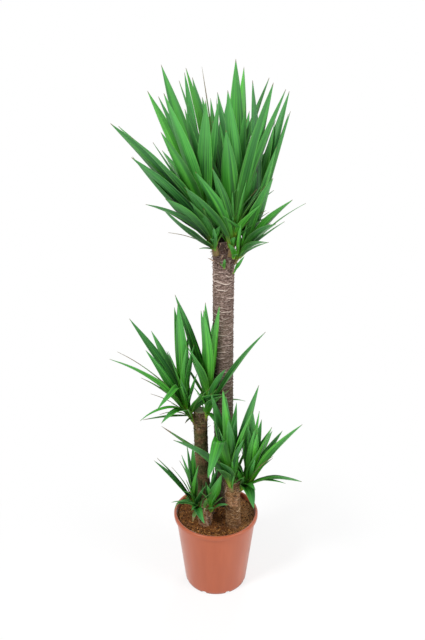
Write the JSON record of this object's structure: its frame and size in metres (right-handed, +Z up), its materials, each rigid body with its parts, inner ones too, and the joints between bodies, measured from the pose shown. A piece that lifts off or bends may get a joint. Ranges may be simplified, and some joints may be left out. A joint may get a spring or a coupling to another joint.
{
  "type": "potted yucca plant",
  "caption": "Spineless yucca in a round tapered nursery pot: bare woody canes of stepped heights, each topped with rosettes of long sword-shaped leaves.",
  "frame": {"origin": "middle of the pot's flat underside, on the surface it stands on", "axes": "+Z up along the pot's axis, -Y towards the front, +X to the right when seen from the front"},
  "size_m": [0.5573, 0.5742, 1.6267],
  "materials": {
    "pot": "satin terracotta-coloured moulded plastic",
    "soil": "rough dark brown fibrous potting soil",
    "bark": "rough grey-brown bark with pale leaf scars",
    "shoot": "smooth yellow-green young leaves",
    "leaf": "smooth leathery mid-green, satin sheen"
  },
  "bodies": {
    "root": {"crown_back_leaf_1": "leaf", "crown_back_leaf_2": "leaf", "crown_back_leaf_3": "leaf", "crown_back_leaf_4": "leaf", "crown_back_leaf_5": "leaf", "crown_back_shoot": "shoot", "crown_front_leaf_1": "leaf", "crown_front_leaf_2": "leaf", "crown_front_leaf_3": "leaf", "crown_front_leaf_4": "leaf", "crown_front_leaf_5": "leaf", "crown_front_shoot": "shoot", "crown_left_leaf_1": "leaf", "crown_left_leaf_2": "leaf", "crown_left_leaf_3": "leaf", "crown_left_leaf_4": "leaf", "crown_left_leaf_5": "leaf", "crown_left_leaf_6": "leaf", "crown_left_shoot": "shoot", "crown_right_leaf_1": "leaf", "crown_right_leaf_2": "leaf", "crown_right_leaf_3": "leaf", "crown_right_leaf_4": "leaf", "crown_right_leaf_5": "leaf", "crown_right_leaf_6": "leaf", "crown_right_shoot": "shoot", "medium_cane": "bark", "medium_left_leaf_1": "leaf", "medium_left_leaf_2": "leaf", "medium_left_leaf_3": "leaf", "medium_left_leaf_4": "leaf", "medium_left_leaf_5": "leaf", "medium_left_shoot": "shoot", "medium_right_leaf_1": "leaf", "medium_right_leaf_2": "leaf", "medium_right_leaf_3": "leaf", "medium_right_leaf_4": "leaf", "medium_right_leaf_5": "leaf", "medium_right_shoot": "shoot", "pot": "pot", "short_cane": "bark", "short_front_leaf_1": "leaf", "short_front_leaf_2": "leaf", "short_front_leaf_3": "leaf", "short_front_leaf_4": "leaf", "short_front_shoot": "shoot", "short_right_leaf_1": "leaf", "short_right_leaf_2": "leaf", "short_right_leaf_3": "leaf", "short_right_leaf_4": "leaf", "short_right_shoot": "shoot", "soil": "soil", "stub_cane": "bark", "stub_left_leaf_1": "leaf", "stub_left_leaf_2": "leaf", "stub_left_leaf_3": "leaf", "stub_left_shoot": "shoot", "stub_right_leaf_1": "leaf", "stub_right_shoot": "shoot", "tall_cane": "bark"}
  },
  "joints": []
}
